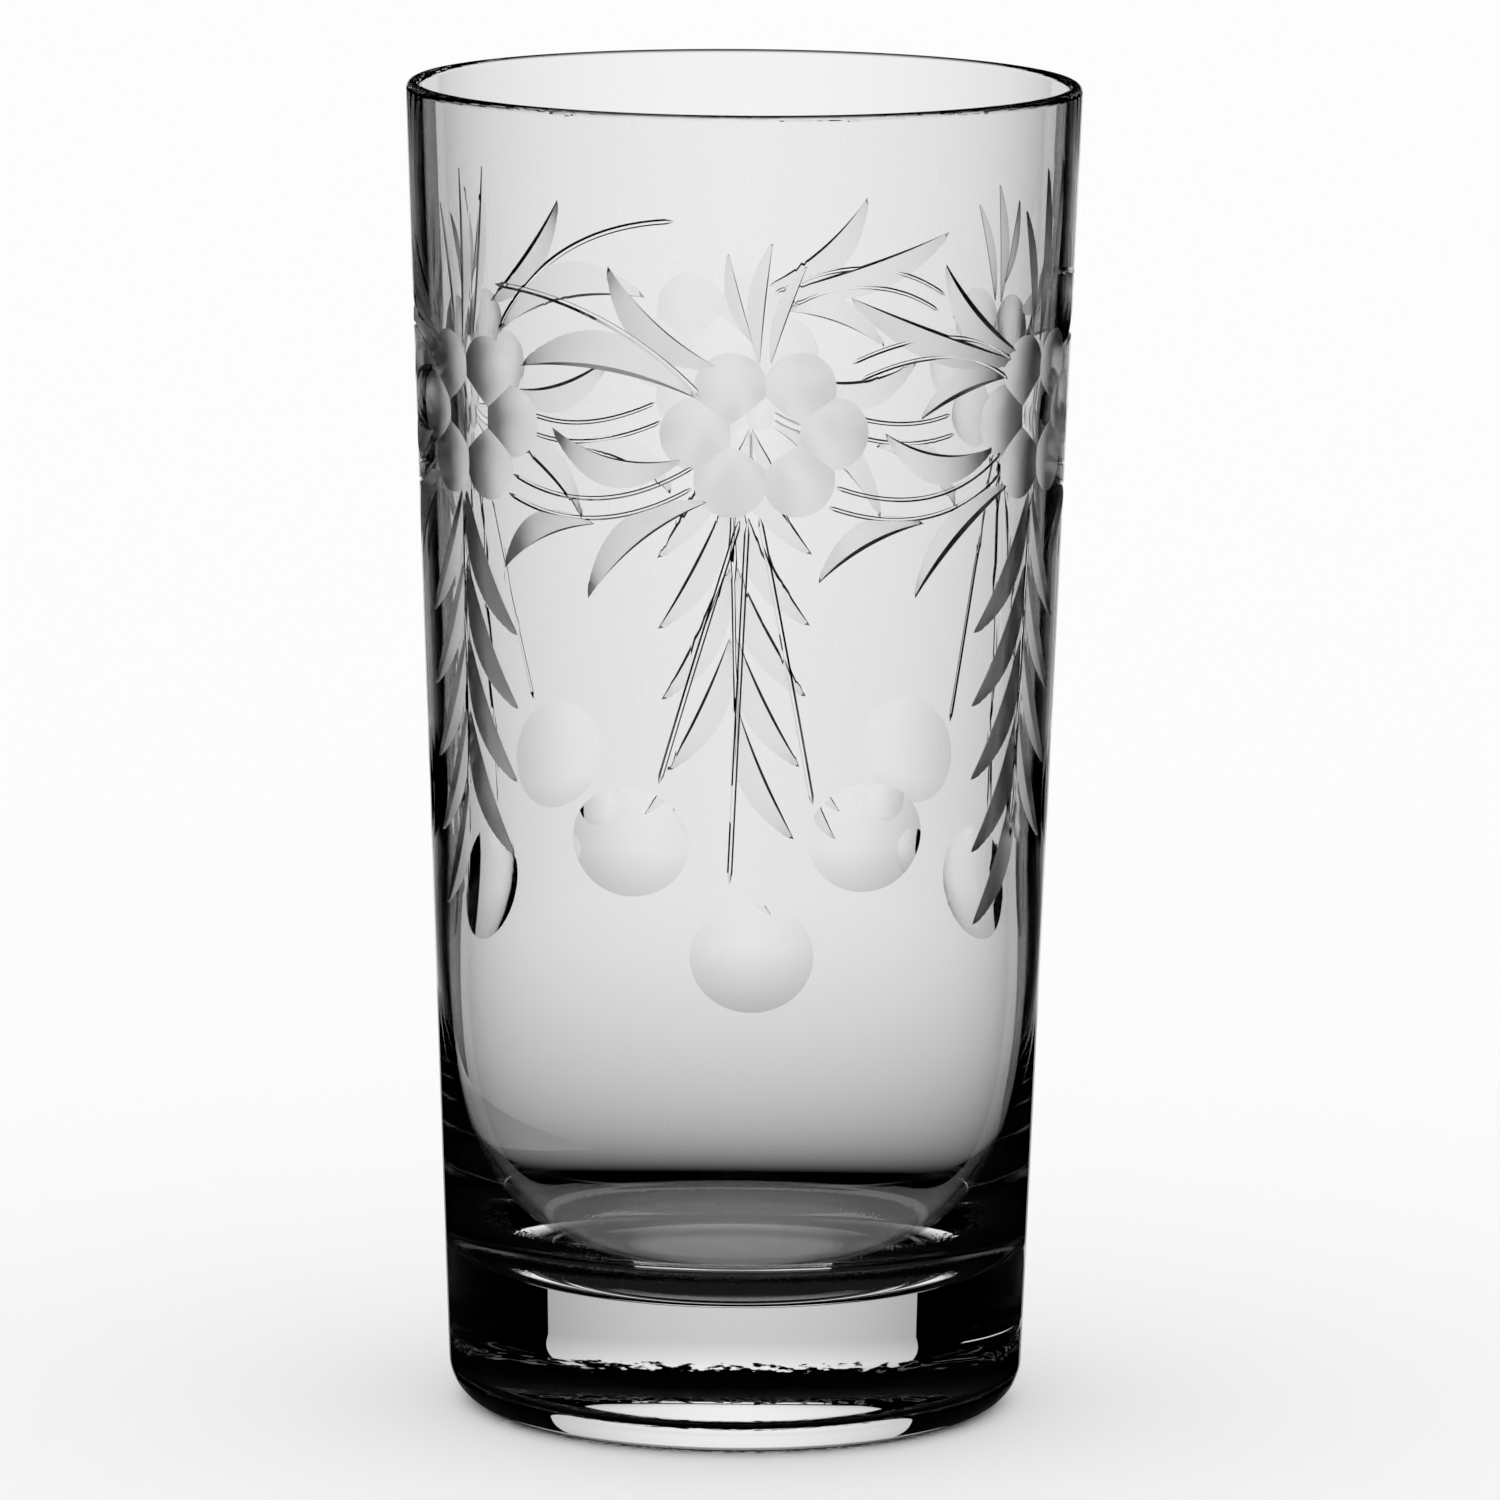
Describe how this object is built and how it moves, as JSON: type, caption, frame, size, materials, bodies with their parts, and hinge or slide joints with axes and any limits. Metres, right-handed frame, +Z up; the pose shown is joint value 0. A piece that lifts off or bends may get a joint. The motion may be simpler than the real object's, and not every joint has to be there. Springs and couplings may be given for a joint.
{
  "type": "highball tumbler",
  "caption": "Tall clear drinking glass with a thick base, its wall wheel-cut with flowers, leaf sprays, festoons and round windows",
  "frame": {"origin": "middle of the underside, on the surface that the glass stands on", "axes": "+Z is up through the rim, and -Y is the side that the picture shows"},
  "size_m": [0.066, 0.066, 0.131],
  "materials": {
    "clear_glass": "polished clear glass, ground satin in the cuts"
  },
  "bodies": {
    "root": {"glass_body": "clear_glass"}
  },
  "joints": []
}
